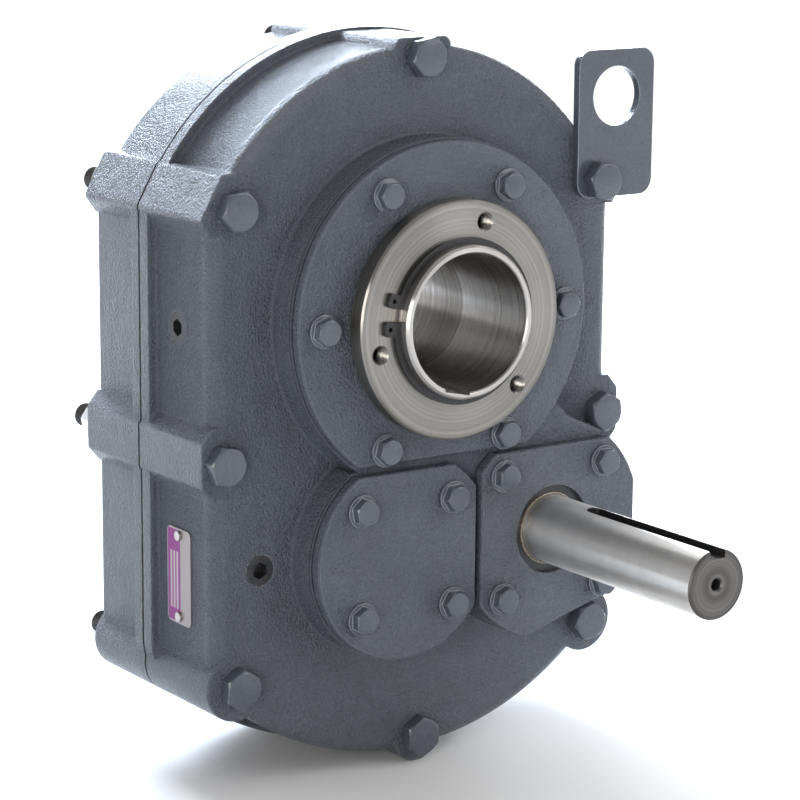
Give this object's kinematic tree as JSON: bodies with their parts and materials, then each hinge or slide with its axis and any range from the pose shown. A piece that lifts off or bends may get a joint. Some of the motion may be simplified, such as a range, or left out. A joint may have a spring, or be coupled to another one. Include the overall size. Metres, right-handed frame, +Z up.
{
  "type": "shaft mount reducer",
  "caption": "Shaft mounted two-stage speed reducer: split cast housing, hollow keyed output hub, keyed input shaft, bolted covers and a lifting eye.",
  "frame": {"origin": "on the output hub axis, half way along the hub, at the joint between the housing halves", "axes": "+Z up, +X to the right seen from the input shaft side, +Y along the hub axis to the rear"},
  "size_m": [0.2823, 0.3248, 0.3875],
  "materials": {
    "painted_iron": "grey-blue enamel on cast iron",
    "painted_steel": "grey-blue enamel",
    "steel": "machined",
    "black_steel": "black oxide",
    "zinc_steel": "zinc plated",
    "seal_rubber": "matt",
    "plate": "printed"
  },
  "bodies": {
    "housing": {"front_housing": "painted_iron", "rear_housing": "painted_iron", "dowel_pins": "steel", "case_bolts": "painted_steel", "case_nuts": "zinc_steel", "lifting_plate": "painted_steel", "pipe_plugs": "black_steel", "nameplate": "plate", "nameplate_rivets": "plate", "front_seal_carrier": "painted_iron", "rear_seal_carrier": "painted_iron", "front_carrier_bolts": "painted_steel", "rear_carrier_bolts": "painted_steel", "countershaft_cover": "painted_iron", "countershaft_cover_bolts": "painted_steel", "input_cover": "painted_iron", "input_cover_bolts": "painted_steel", "backstop_cover": "painted_iron", "backstop_cover_bolts": "painted_steel", "front_output_seal": "seal_rubber", "rear_output_seal": "seal_rubber", "input_seal": "seal_rubber", "output_front_bearing_cup": "steel", "output_rear_bearing_cup": "steel", "countershaft_front_bearing_cup": "steel", "countershaft_rear_bearing_cup": "steel", "input_front_bearing_cup": "steel", "input_rear_bearing_cup": "steel"},
    "output_hub_assembly": {"output_hub": "steel", "output_gear": "steel", "output_gear_key": "steel", "output_spacer": "steel", "front_backup_plate": "steel", "rear_backup_plate": "steel", "front_retaining_ring": "black_steel", "rear_retaining_ring": "black_steel", "output_front_bearing_cone": "steel", "output_rear_bearing_cone": "steel", "output_bearing_rollers": "steel"},
    "countershaft_assembly": {"countershaft": "steel", "countershaft_gear": "steel", "countershaft_gear_key": "steel", "countershaft_spacer": "steel", "countershaft_front_bearing_cone": "steel", "countershaft_rear_bearing_cone": "steel", "countershaft_bearing_rollers": "steel"},
    "input_shaft_assembly": {"input_shaft": "steel", "input_front_bearing_cone": "steel", "input_rear_bearing_cone": "steel", "input_bearing_rollers": "steel"}
  },
  "joints": [
    {"name": "output_spin", "type": "hinge", "parent": "housing", "child": "output_hub_assembly", "pos_m": [0, 0, 0], "axis": [0, 1, 0], "continuous": true},
    {"name": "countershaft_spin", "type": "hinge", "parent": "housing", "child": "countershaft_assembly", "pos_m": [-0.024, 0, -0.12369], "axis": [0, 1, 0], "continuous": true},
    {"name": "input_spin", "type": "hinge", "parent": "housing", "child": "input_shaft_assembly", "pos_m": [0.07098, 0, -0.12199], "axis": [0, 1, 0], "continuous": true}
  ],
  "couplings": [
    {"joint": "countershaft_spin", "follows": "output_spin", "ratio": -4.5385},
    {"joint": "input_spin", "follows": "output_spin", "ratio": 14.624}
  ]
}
